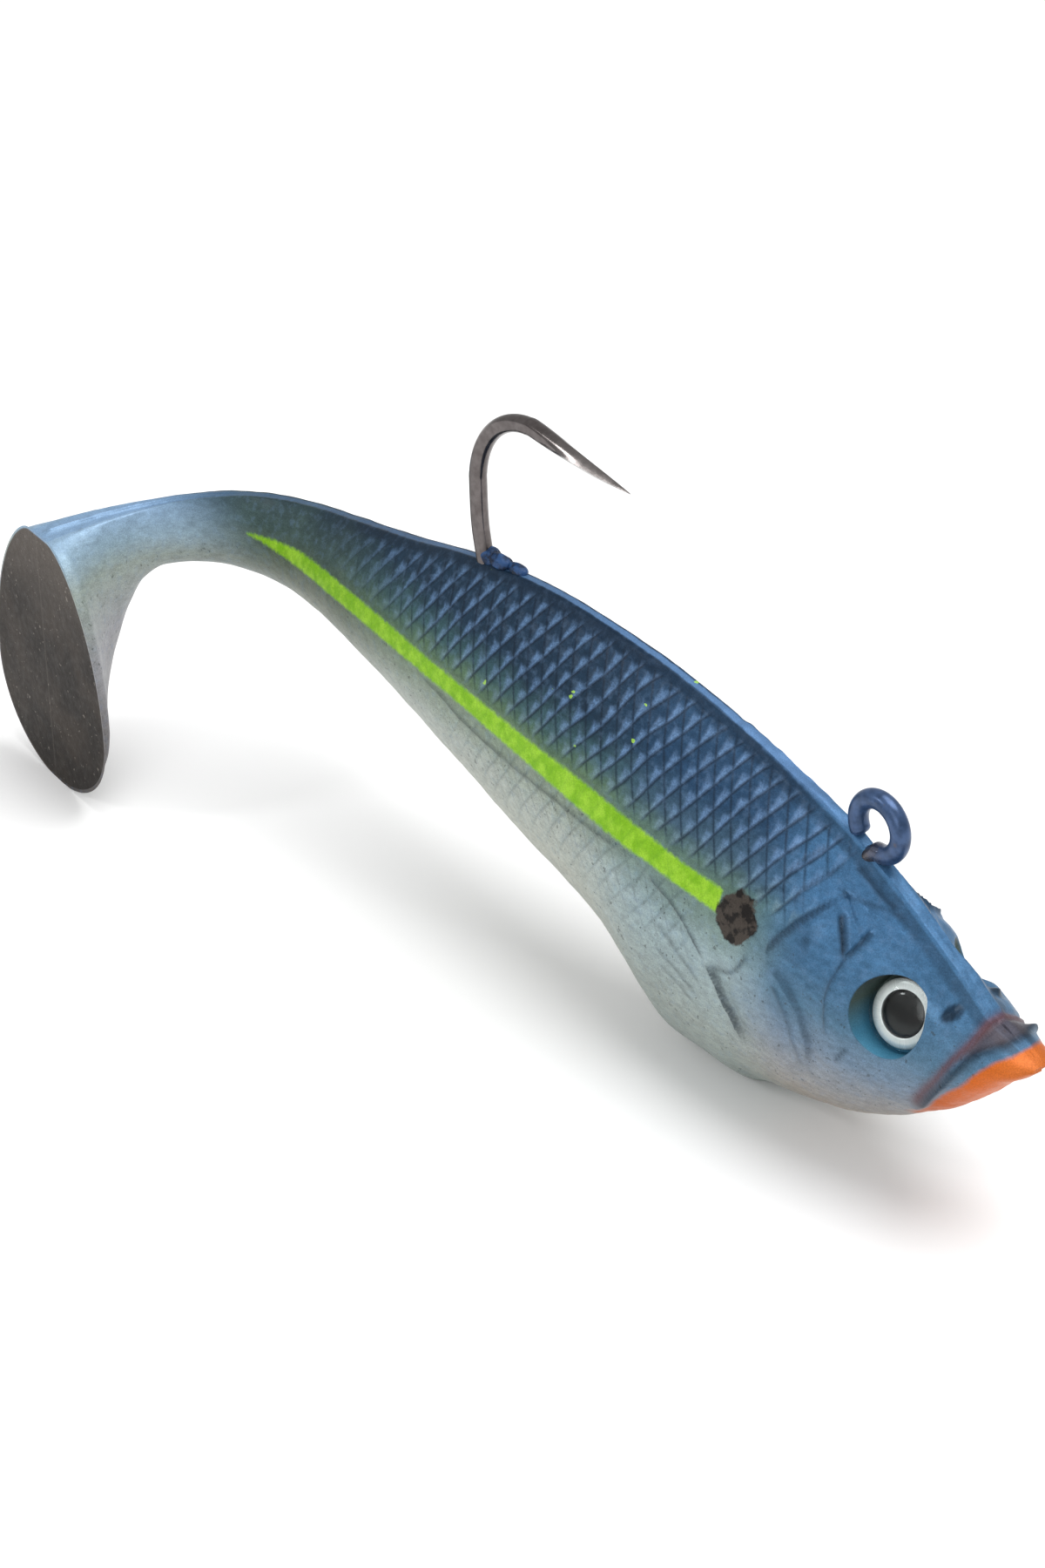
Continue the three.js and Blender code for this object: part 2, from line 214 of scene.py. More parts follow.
def spine_table():
    """The spine's own path behind the place where its curl starts."""
    step = 0.05
    behind = np.arange(0, CURL_LENGTH, step)
    angle = heading(CURL_START_X - behind - step / 2)
    x = CURL_START_X - np.concatenate([[0], np.cumsum(step * np.cos(angle))])
    y = -np.concatenate([[0], np.cumsum(step * np.sin(angle))])
    return np.concatenate([behind, [behind[-1] + step]]), x, y


SPINE = spine_table()


def place(x, left, up):
    """Points given along the spine, to the fish's left and up, in the row frame."""
    x, left, up = np.broadcast_arrays(*(np.asarray(v, float) for v in (x, left, up)))
    behind, spine_x, spine_y = SPINE
    past = CURL_START_X - x
    at_x = np.where(past > 0, np.interp(past, behind, spine_x), x)
    at_y = np.where(past > 0, np.interp(past, behind, spine_y), 0)
    angle = heading(x)
    return np.stack([at_x - left * np.sin(angle), at_y + left * np.cos(angle), up], -1)


def catmull(points, per_span=6):
    """A smooth line through the points."""
    p = np.array(points, float)
    p = np.vstack([2 * p[0] - p[1], p, 2 * p[-1] - p[-2]])
    rows = []
    for k in range(1, len(p) - 2):
        for t in np.arange(per_span) / per_span:
            near = 2 * p[k] + (p[k + 1] - p[k - 1]) * t
            far = (2 * p[k - 1] - 5 * p[k] + 4 * p[k + 1] - p[k + 2]) * t * t
            rows.append(0.5 * (near + far + (3 * p[k] - p[k - 1] - 3 * p[k + 1] + p[k + 2]) * t ** 3))
    return np.array(rows + [p[-2]])


def from_line(x, z, points):
    """Distance from (x, z) to a line, its side, and how far along it is, from 0 to 1.

    The side is 1 in front of a line that runs down, and under a line that runs rearwards."""
    line = catmull(points)
    best = np.full(np.shape(x), 1e9)
    side = np.ones(np.shape(x))
    along = np.zeros(np.shape(x))
    for k in range(len(line) - 1):
        (ax, az), (bx, bz) = line[k], line[k + 1]
        dx, dz = bx - ax, bz - az
        t = np.clip(((x - ax) * dx + (z - az) * dz) / (dx * dx + dz * dz), 0, 1)
        away = np.hypot(x - ax - t * dx, z - az - t * dz)
        nearer = away < best
        best = np.where(nearer, away, best)
        side = np.where(nearer, np.sign((z - az) * dx - (x - ax) * dz), side)
        along = np.where(nearer, (k + t) / (len(line) - 1), along)
    return best, side, along


def grain(x, z, size, seed):
    """Smooth value noise from -1 to 1 with bumps of about the given size."""
    rng = np.random.RandomState(seed)
    lattice = rng.uniform(-1, 1, (64, 64))
    gx, gz = np.asarray(x) / size + 1000, np.asarray(z) / size + 1000
    ix, iz = np.floor(gx).astype(int), np.floor(gz).astype(int)
    fx, fz = smooth(gx - ix, 0, 1), smooth(gz - iz, 0, 1)
    corner = [[lattice[(ix + a) % 64, (iz + b) % 64] for b in (0, 1)] for a in (0, 1)]
    low = corner[0][0] * (1 - fx) + corner[1][0] * fx
    high = corner[0][1] * (1 - fx) + corner[1][1] * fx
    return low * (1 - fz) + high * fz


# ---------------------------------------------------------------- the skin's own shape

def half_section(x):
    """(left, up) points of one side of the section at x, evenly spaced from keel to ridge."""
    top, bottom = read(BACK, x), read(BELLY, x)
    widest = bottom + (top - bottom) * read(WIDEST_AT, x)
    half_width = read(HALF_WIDTH, x)
    flat = min(read(RIDGE, x), 0.8 * half_width)
    angle = np.radians(np.linspace(-90, 90, 721))
    above = angle >= 0
    taper = np.where(above, read(BACK_TAPER, x), read(BELLY_TAPER, x))
    across = np.clip(np.cos(angle), 0, 1) ** taper
    ledge = np.where(above, flat, 0)
    left = ledge + (half_width - ledge) * across
    up = widest + np.where(above, top - widest, widest - bottom) * np.sin(angle)
    left, up = np.append(left, 0), np.maximum(np.append(up, top), 0)
    walked = np.concatenate([[0], np.cumsum(np.hypot(np.diff(left), np.diff(up)))])
    even = np.linspace(0, walked[-1], HALF_RING + 1)
    return np.interp(even, walked, left), np.interp(even, walked, up)


def skin_coordinates(stations):
    """x, left and z of the skin's points: one row for each station, one column round the ring."""
    rows = []
    for x in stations:
        left, up = half_section(x)
        ring_left = np.concatenate([-left, left[-2:0:-1]])
        ring_up = np.concatenate([up, up[-2:0:-1]])
        rows.append((np.full(len(ring_up), x), ring_left, ring_up))
    return [np.array(part) for part in zip(*rows)]


def lattice(x, z):
    """The two running counts of the diagonal scale lines at (x, z)."""
    drift = 0.1 * grain(x, z, 3.1, 3)
    row = (z - read(STRIPE_TOP, x)) / (2 * SCALE_ROW) + 0.6 * drift
    run = -x / SCALE_LENGTH + drift
    return run + row, run - row


def scale_strength(x, z):
    """How strongly the scales show: full on the shoulder and back, faint under the stripe."""
    above = z - read(STRIPE_TOP, x)
    front = smooth(x, 12.6 + 0.5 * np.maximum(z - 21, 0), 8.6 + 0.4 * np.maximum(z - 21, 0))
    rear = smooth(x, -52, -27)
    under_ridge = smooth(read(BACK, x) - z, 0.25, 0.9)
    upper = smooth(above, 0.1, 1.3) * front * rear * under_ridge
    lower = 0.3 * smooth(above, -9, -4.5) * smooth(above, -1.5, -2.2)
    return upper + lower * smooth(x, 4, 1) * smooth(x, -34, -20)


def drawn_relief(x, z):
    """Relief of the cut lines, the plates and the fin."""
    height = np.zeros(np.shape(x))
    for points, half_width, depth in ENGRAVED:
        away, _, along = from_line(x, z, points)
        ends = smooth(along, 0, 0.12) * smooth(along, 1, 0.85)
        height -= depth * np.exp(-(away / half_width) ** 2) * ends
    for points, rise, reach in PLATES:
        away, side, along = from_line(x, z, points)
        ends = smooth(along, 0, 0.1) * smooth(along, 1, 0.75)
        height += rise * ends * np.exp(-away / reach) * smooth(away * side, -0.12, 0.12)
    away, side, _ = from_line(x, z, FIN)
    fin = smooth(away * side, -0.1, 0.15) * np.exp(-away / 3.2)
    return height + 0.2 * fin * smooth(x, 5, 3) * smooth(x, -8, -2) * smooth(z, 7, 9)


def mouth_relief(x, left, z):
    """Relief of the lip, the cut of the mouth and the nostril."""
    away, _, along = from_line(x, z, LIP)
    height = 0.16 * np.exp(-((away - 0.32) / 0.25) ** 2) * smooth(along, 1, 0.9)
    away, _, along = from_line(x, z, MOUTH)
    off_tip = smooth(np.abs(left), 0.2, 2) * smooth(x, 28.6, 26.6)
    corner = smooth(along, 1, 0.8)
    height -= (0.1 + 0.34 * off_tip) * np.exp(-(away / 0.24) ** 2) * corner
    height += 0.05 * off_tip * np.exp(-((away - 0.6) / 0.3) ** 2) * corner
    pit = np.hypot(x - NOSTRIL[0], z - NOSTRIL[1])
    return height + 0.06 * np.exp(-((pit - 0.62) / 0.2) ** 2) - 0.45 * np.exp(-(pit / 0.36) ** 2)


def ridge_relief(x, left, z):
    """Relief of the rails and notches along the ridge, and of the stem's crease."""
    out, high = np.abs(left), z > 20
    rail = np.exp(-((out - 0.85) / 0.25) ** 2) * smooth(x, -14, 0) * smooth(x, 15, 11) * high
    notched = smooth(out, 1.6, 0.5) * smooth(x, 17, 12) * smooth(x, -6, 2) * high
    crease = np.exp(-((out - 0.2) / 0.14) ** 2) * high * smooth(x, -58, -68)
    height = rail * (0.2 + 0.12 * grain(x, z, 0.9, 14))
    return height + 0.1 * notched * grain(x, left, 0.8, 13) - 0.14 * crease


def relief(x, left, z):
    """Height that the skin stands over its plain section, in millimetres."""
    out = np.abs(left)
    height = drawn_relief(x, z) + mouth_relief(x, left, z)
    height *= np.maximum(smooth(out, 0.5, 1.3), smooth(x, 25, 26))
    height *= 1 - 0.8 * smooth(x, 26, 27.4) * smooth(z, 14.4, 15.4)
    a, b = (np.abs(count - np.floor(count) - 0.5) for count in lattice(x, z))
    height += SCALE_HEIGHT * scale_strength(x, z) * (1 - 2 * np.maximum(a, b)) ** 0.75
    brow = smooth(z, 16.5, 18) * smooth(x, 8, 15) * smooth(x, 26, 22)
    height += 0.7 * brow * np.exp(-((out - 2.7) / 1.2) ** 2)
    skull, own_side = smooth(x, 8, 14), z + 40 * (left > 0)
    height += (0.03 + 0.07 * skull) * grain(x, own_side, 1.9, 11)
    height += (0.015 + 0.02 * skull) * grain(x, own_side, 0.7, 12)
    return height + ridge_relief(x, left, z)


def outward(points):
    """Unit normals of a ring-wise grid of skin points."""
    wrapped = np.concatenate([points[:, -1:], points, points[:, :1]], 1)
    round_ring = wrapped[:, 2:] - wrapped[:, :-2]
    along = np.gradient(points, axis=0)
    normal = np.cross(along, round_ring)
    return normal / np.maximum(np.linalg.norm(normal, axis=-1, keepdims=True), 1e-9)


# ---------------------------------------------------------------- paint coordinates

def cut_shade_and_smudge(x, z, mouth_away, mouth_along):
    """How dark the painted shade in the bottoms of the cuts, the mouth and the nostril pit is, and how dark
    the smudge is.
    """
    cut = np.zeros(np.shape(x))
    for points, half_width, depth in ENGRAVED:
        away, _, along = from_line(x, z, points)
        ends = smooth(along, 0, 0.15) * smooth(along, 1, 0.8)
        dark = min(1, 0.25 + 2.4 * depth)
        cut = np.maximum(cut, dark * np.exp(-(away / (1.25 * half_width)) ** 2) * ends)
    pit = np.hypot(x - NOSTRIL[0], z - NOSTRIL[1])
    smudge = np.hypot(x - SMUDGE[0], z - SMUDGE[1])
    cut = np.maximum(cut, 0.85 * np.exp(-(mouth_away / 0.3) ** 2) * smooth(mouth_along, 1, 0.75))
    cut = np.maximum(cut, 0.95 * smooth(pit, 0.7, 0.4))
    return np.maximum(cut, 0.55 * np.exp(-(smudge / 0.5) ** 2))


def paint_values(x, left, z):
    """Numbers on each skin point that the paint reads: distances in mm or shares from 0 to 1."""
    a, b = lattice(x, z)
    top, foot = read(STRIPE_TOP, x), read(STRIPE_FOOT, x)
    between_ends = np.minimum(STRIPE_ENDS[0] - x, x - STRIPE_ENDS[1])
    mouth_away, mouth_side, mouth_along = from_line(x, z, MOUTH)
    lip_away, lip_side, lip_along = from_line(x, z, LIP)
    throat_away, throat_side, throat_along = from_line(x, z, THROAT)
    over_mouth = smooth(-mouth_away * mouth_side, -0.1, 0.2) * smooth(z, 14.6, 16)
    ridge = read(RIDGE, x) + 0.12 - 0.26 * smooth(x, 7, -5) - np.abs(left)
    return {
        "along": x,
        "height": z,
        "across": left,
        "above": z - top,
        "scale_a": a,
        "scale_b": b,
        "scaled": scale_strength(x, z),
        "stripe": np.minimum(np.minimum(top - z, z - foot), between_ends),
        "spot": 1 - np.hypot((x - SPOT[0]) / SPOT[2], (z - SPOT[1]) / SPOT[3]),
        "cut": cut_shade_and_smudge(x, z, mouth_away, mouth_along),
        "lip": np.exp(-(lip_away / 0.32) ** 2) * smooth(lip_along, 1, 0.85),
        "snout": smooth(lip_away * lip_side, -0.1, 0.2) * over_mouth,
        "throat": throat_away * throat_side * smooth(throat_along, 1, 0.7) - smooth(x, 20.5, 18),
        "ridge": np.where(read(BACK, x) - z < 1.2, ridge, -1),
    }


# ---------------------------------------------------------------- meshes

def make_object(name, points, faces):
    """A mesh object from points in millimetres."""
    mesh = bpy.data.meshes.new(name)
    mesh.from_pydata((np.asarray(points) * MM).tolist(), [], faces)
    mesh.polygons.foreach_set("use_smooth", [True] * len(mesh.polygons))
    mesh.update()
    thing = bpy.data.objects.new(name, mesh)
    bpy.context.scene.collection.objects.link(thing)
    return thing


def store(thing, values):
    """Writes number or vector attributes on an object's points."""
    for name, numbers in values.items():
        numbers = np.asarray(numbers, np.float32)
        vector = numbers.ndim == 2
        made = thing.data.attributes.new(name, "FLOAT_VECTOR" if vector else "FLOAT", "POINT")
        made.data.foreach_set("vector" if vector else "value", numbers.ravel())


def sharpen(thing, limit):
    """Keeps the edges whose faces meet at more than limit degrees sharp."""
    thing.data.set_sharp_from_angle(angle=math.radians(limit))


def grid_faces(rows, ring):
    """Quads between rows of closed rings that go on along the fish from snout to tail."""
    faces = []
    for i in range(rows - 1):
        for k in range(ring):
            a, b = i * ring + k, i * ring + (k + 1) % ring
            faces.append((a, b, b + ring, a + ring))
    return faces


def eye_axes(side):
    """An eye's centre, its outward axis and two directions across it."""
    out = np.array([
        math.sin(EYE["yaw"]) * math.cos(EYE["pitch"]),
        side * math.cos(EYE["yaw"]) * math.cos(EYE["pitch"]),
        math.sin(EYE["pitch"]),
    ])
    first = np.cross([0, 0, 1], out)
    first /= np.linalg.norm(first)
    return np.array([EYE["x"], side * EYE["out"], EYE["z"]]), out, first, np.cross(out, first)


def open_hole(faces, inside):
    """Takes out the faces that touch the points marked inside; gives the rest and the hole's edge."""
    gone = [face for face in faces if any(inside[v] for v in face)]
    kept = [face for face in faces if not any(inside[v] for v in face)]
    directed = {(f[k], f[(k + 1) % len(f)]) for f in gone for k in range(len(f))}
    following = {a: b for a, b in directed if (b, a) not in directed}
    loop = [min(following)]
    while following[loop[-1]] != loop[0]:
        loop.append(following[loop[-1]])
    return kept, loop


def socket_rings(rim, surface, count):
    """Rings from the skin into a socket: radius, heights, and share of the way to its floor."""
    lip_height = surface(rim)
    rings = [(rim + 0.26, surface(rim + 0.26), 0), (rim + 0.12, surface(rim + 0.12) - 0.01, 0)]
    rings += [(rim + 0.04, lip_height - 0.05, 0), (rim, lip_height - 0.12, 0), (rim, lip_height - 0.24, 0)]
    for t in np.linspace(0.12, 1, 9):
        size = rim + (SOCKET_RADIUS - rim) * t
        rings.append((size, (lip_height - 0.24) * (1 - t) + SOCKET_FLOOR * t, t))
    for size in (SOCKET_RADIUS - 0.35, 1.6, 0.6):
        rings.append((size, np.full(count, SOCKET_FLOOR), 1))
    return rings, lip_height


def cut_socket(points, faces, side):
    """Opens a round eye socket in the skin and gives the new points and faces, and the new part."""
    centre, out, first, second = eye_axes(side)
    tree = BVHTree.FromPolygons(points.tolist(), faces)
    across, upward, rim = SOCKET_MOUTH
    mouth = centre - side * across * first + upward * second
    away = points - mouth
    depth = away @ out
    radius = np.linalg.norm(away - depth[:, None] * out, axis=1)
    kept, loop = open_hole(faces, (depth > 0.3) & (radius < rim + 0.45))
    angle = np.array([math.atan2(away[v] @ second, away[v] @ first) for v in loop])
    spoke = np.cos(angle)[:, None] * first + np.sin(angle)[:, None] * second

    def surface(size):
        starts = mouth + out * 9 + spoke * size
        hits = [np.array(tree.ray_cast(Vector(start), Vector(-out))[0]) for start in starts]
        return np.array([(hit - centre) @ out for hit in hits])

    rings, lip_height = socket_rings(rim, surface, len(loop))
    new_points, depths, previous = [], [], np.array(loop)
    for k, (size, height, inward) in enumerate(rings):
        ring = len(points) + len(new_points) + np.arange(len(loop))
        middle = mouth * (1 - inward) + centre * inward
        new_points += list(middle + spoke * size + out * height[:, None])
        depths += list(np.zeros(len(loop)) if k < 3 else np.clip(lip_height - height, 0.15, 9))
        kept += cap_ring(previous, ring, False)
        previous = ring
    new_points.append(centre + out * SOCKET_FLOOR)
    depths.append(3.0)
    kept += cap_ring(previous, np.full(len(loop), len(points) + len(new_points) - 1), False)
    return np.vstack([points, new_points]), kept, depths


# A skin is one table: a row for each point, with its place, its skin coordinates, and how much
# it belongs to the paddle's face and how deep it lies in a socket.
PLACE, COORDINATES, FACE, SOCKET = slice(0, 3), slice(3, 6), 6, 7


def skin_grid(front, rear):
    """Skin coordinates and points with their relief, one row for each station."""
    count = max(int(round((front - rear) / SKIN_STEP)), 2)
    stations = np.linspace(front, rear, count + 1)
    last = rear <= TAIL_X
    if last:
        stations = np.concatenate([stations[:-1], [rear + 0.12, rear + 0.04, rear]])
    x, left, z = skin_coordinates(stations)
    base = place(x - PADDLE_REACH * smooth(x, -69, TAIL_X), left, z)
    normal = outward(base)
    fade = smooth(x, TAIL_X, TAIL_X + 0.8)
    grid = base + normal * (relief(x, left, z) * fade)[..., None]
    if last:                                         # rounds the rim of the paddle's face
        for row, inset in ((-2, 0.06), (-1, 0.2)):
            grid[row] -= normal[-4] * inset
    grid[..., 2] = np.maximum(grid[..., 2], 0)
    return np.concatenate([grid, np.stack([x, left, z, 0 * x, 0 * x], -1)], -1)


def close_end(skin, faces, loop, turned, shares, on_face):
    """Closes an end of the skin with loops inside each other and a hub."""
    middle = skin[loop].mean(0)
    middle[FACE] = on_face
    previous = loop
    for share in shares:
        inner = middle + (skin[loop] - middle) * share
        inner[:, FACE] = on_face
        new = len(skin) + np.arange(len(loop))
        skin = np.vstack([skin, inner])
        faces += cap_ring(previous, new, turned)
        previous = new
    faces += cap_ring(previous, np.full(len(loop), len(skin)), turned)
    return np.vstack([skin, middle])


def without_strays(skin, faces):
    """Drops the points that no face uses."""
    used = np.zeros(len(skin), bool)
    used[[v for face in faces for v in face]] = True
    new = np.cumsum(used) - 1
    return skin[used], [tuple(int(new[v]) for v in face) for face in faces]


def skin_piece(name, front, rear):
    """One closed length of the painted soft body, from front to rear along the spine."""
    grid = skin_grid(front, rear)
    rows, ring, columns = grid.shape
    skin, faces = grid.reshape(-1, columns), grid_faces(rows, ring)
    first, last = np.arange(ring), (rows - 1) * ring + np.arange(ring)
    paddle = rear <= TAIL_X
    skin = close_end(skin, faces, first, True, [0.5], 0)
    shares = np.linspace(1, 0, 30)[1:-1] if paddle else [0.5]
    skin = close_end(skin, faces, last, False, shares, float(paddle))
    if front >= SNOUT_X:
        for side in (-1, 1):
            points, faces, depths = cut_socket(skin[:, PLACE], faces, side)
            added = points[len(skin):]
            skin = np.vstack([skin, np.column_stack([added, added, np.zeros(len(added)), depths])])
    skin, faces = without_strays(skin, faces)
    values = paint_values(*skin[:, COORDINATES].T)
    values.update(socket=skin[:, SOCKET], face=skin[:, FACE], rest=skin[:, COORDINATES])
    piece = make_object(name, skin[:, PLACE], faces)
    store(piece, values)
    sharpen(piece, 50)
    return piece


def cap_ring(outer, inner, turned):
    """Faces from one closed loop to the next one inside it, or to a hub."""
    faces = []
    for k in range(len(outer)):
        n = (k + 1) % len(outer)
        face = [int(outer[k]), int(outer[n]), int(inner[n]), int(inner[k])]
        if face[2] == face[3]:
            face.pop()
        faces.append(tuple(face[::-1]) if turned else tuple(face))
    return faces


def lathe(name, profile, side, sides=72):
    """Turns a profile of (radius, height) about one eye's axis; it starts and ends on the axis,
    or closes on itself."""
    centre, out, first, second = eye_axes(side)
    ring = np.arange(sides) * 2 * np.pi / sides
    spoke = np.cos(ring)[:, None] * first + np.sin(ring)[:, None] * second
    points, loops = [], []
    for radius, height in profile:
        if radius == 0:
            loops.append([len(points)] * sides)
            points.append(centre + out * height)
        else:
            loops.append(list(range(len(points), len(points) + sides)))
            points += list(centre + spoke * radius + out * height)
    pairs = list(zip(loops, loops[1:]))
    if profile[0][0] > 0:
        pairs.append((loops[-1], loops[0]))
    faces = []
    for lower, upper in pairs:
        for k in range(sides):
            n = (k + 1) % sides
            face = list(dict.fromkeys([lower[k], lower[n], upper[n], upper[k]]))
            if len(face) > 2:
                faces.append(tuple(face))
    thing = make_object(name, np.array(points), faces)
    spread = np.array(points) - centre
    turn = np.arctan2(spread @ second, spread @ first)
    store(thing, {"rest": spread, "turn": turn, "radius": np.hypot(spread @ first, spread @ second)})
    sharpen(thing, 40)
    return thing


# ---------------------------------------------------------------- hook

def arc(circle, start, end):
    """Points (x, z) on a circle, from one angle to another in degrees."""
    x, z, radius = circle
    angle = np.radians(np.linspace(start, end, int(abs(end - start) / 8) + 2))
    return [(x + radius * math.cos(a), z + radius * math.sin(a)) for a in angle]


def wire_path():
    """Centre line of the wire in the middle plane, evenly spaced, from the ring to the point."""
    ring = arc(LINE_TIE, 222, -90)
    neck = [(11, 22.3), (8, 21.1)]
    shank = [(0, 21.5), (-12, 22.9)]
    bend = arc(LOWER_BEND, 262, 198) + [(-30.5, 32.5)] + arc(UPPER_BEND, 182, 86) + [(-18, 42.2)]
    line = catmull(ring + neck + shank + bend + [POINT_TIP], 8)
    walked = np.concatenate([[0], np.cumsum(np.hypot(*np.diff(line, axis=0).T))])
    even = np.arange(0, walked[-1], 0.16)
    even = np.append(even, walked[-1])
    return np.stack([np.interp(even, walked, line[:, 0]), np.interp(even, walked, line[:, 1])], -1), even


def wire_rings(path, across, radius, ground, forged, turn):
    """Points round the wire: round, flattened where forged, four-sided where ground."""
    u, v = np.cos(turn), np.sin(turn)
    edge = np.abs(u) + 0.9 * np.abs(v) + 0.1
    points = []
    for k in range(len(path)):
        flat_side = np.clip(np.abs(v), 0, 1 - 0.12 * forged[k]) * np.sign(v)
        across_part = (u * (1 - ground[k]) + u * 1.16 / edge * ground[k]) * radius[k]
        side_part = (flat_side * (1 - ground[k]) + v * 1.02 / edge * ground[k]) * radius[k]
        flat = path[k] + across_part[:, None] * across[k]
        points.append(np.stack([flat[:, 0], side_part, flat[:, 1]], -1))
    return np.array(points).reshape(-1, 3)


def hook():
    """The whole hook: painted line-tie ring, shank, forged bend and ground spear point."""
    path, walked = wire_path()
    to_tip = walked[-1] - walked
    ring_length = math.radians(312) * LINE_TIE[2]
    tangent = np.gradient(path, axis=0)
    tangent /= np.linalg.norm(tangent, axis=1, keepdims=True)
    across = np.stack([-tangent[:, 1], tangent[:, 0]], -1)
    ringed = 1 - smooth(walked, ring_length - 1.5, ring_length + 1.5)
    ground = smooth(to_tip, POINT_LENGTH + 2.5, POINT_LENGTH - 4)
    rounded_start = np.sqrt(np.clip(1 - (1 - np.clip(walked / 0.5, 0, 1)) ** 2, 0, 1))
    taper = 0.05 + 0.95 * np.sin(np.clip(to_tip / POINT_LENGTH, 0, 1) * math.pi / 2) ** 0.95
    radius = (WIRE_RADIUS + (RING_WIRE_RADIUS - WIRE_RADIUS) * ringed) * rounded_start * taper
    forged = smooth(walked, 44, 58) * (1 - ground)
    rows, sides = len(path), 36
    points = wire_rings(path, across, radius, ground, forged, np.arange(sides) * 2 * np.pi / sides)
    faces = [face[::-1] for face in grid_faces(rows, sides)]
    for loop, turned in ((np.arange(sides), False), ((rows - 1) * sides + np.arange(sides), True)):
        points = np.vstack([points, points[loop].mean(0)])
        faces += cap_ring(loop, np.full(sides, len(points) - 1), turned)
    piece = make_object("hook_wire", points, faces)
    painted, spear = (np.append(np.repeat(part, sides), [part[0], part[-1]]) for part in (ringed, ground))
    store(piece, {"painted": painted, "ground": spear, "rest": points})
    sharpen(piece, 46)
    return piece


def lump(name, centre, sizes, seed):
    """A small bead of set plastic: a sphere pulled out of round by noise."""
    rings, sides = 28, 40
    points = []
    for tilt in np.linspace(-math.pi / 2, math.pi / 2, rings)[1:-1]:
        for turn in np.arange(sides) * 2 * np.pi / sides:
            points.append((math.cos(tilt) * math.cos(turn), math.cos(tilt) * math.sin(turn), math.sin(tilt)))
    points = np.array(points + [(0, 0, -1), (0, 0, 1)])
    swell = 1 + 0.16 * grain(points[:, 0] * 2 + points[:, 2], points[:, 1] * 2 - points[:, 2], 0.9, seed)
    points = points * swell[:, None] * np.array(sizes) + np.array(centre)
    rows = rings - 2
    faces = grid_faces(rows, sides)
    faces += cap_ring(np.arange(sides), np.full(sides, rows * sides), True)
    faces += cap_ring((rows - 1) * sides + np.arange(sides), np.full(sides, rows * sides + 1), False)
    thing = make_object(name, points, faces)
    store(thing, {"rest": points})
    return thing


# ---------------------------------------------------------------- materials

def colour(code):
    """Linear RGBA of a #rrggbb colour."""
    parts = [int(code[k:k + 2], 16) / 255 for k in (1, 3, 5)]
    return [*(c / 12.92 if c <= 0.04045 else ((c + 0.055) / 1.055) ** 2.4 for c in parts), 1]


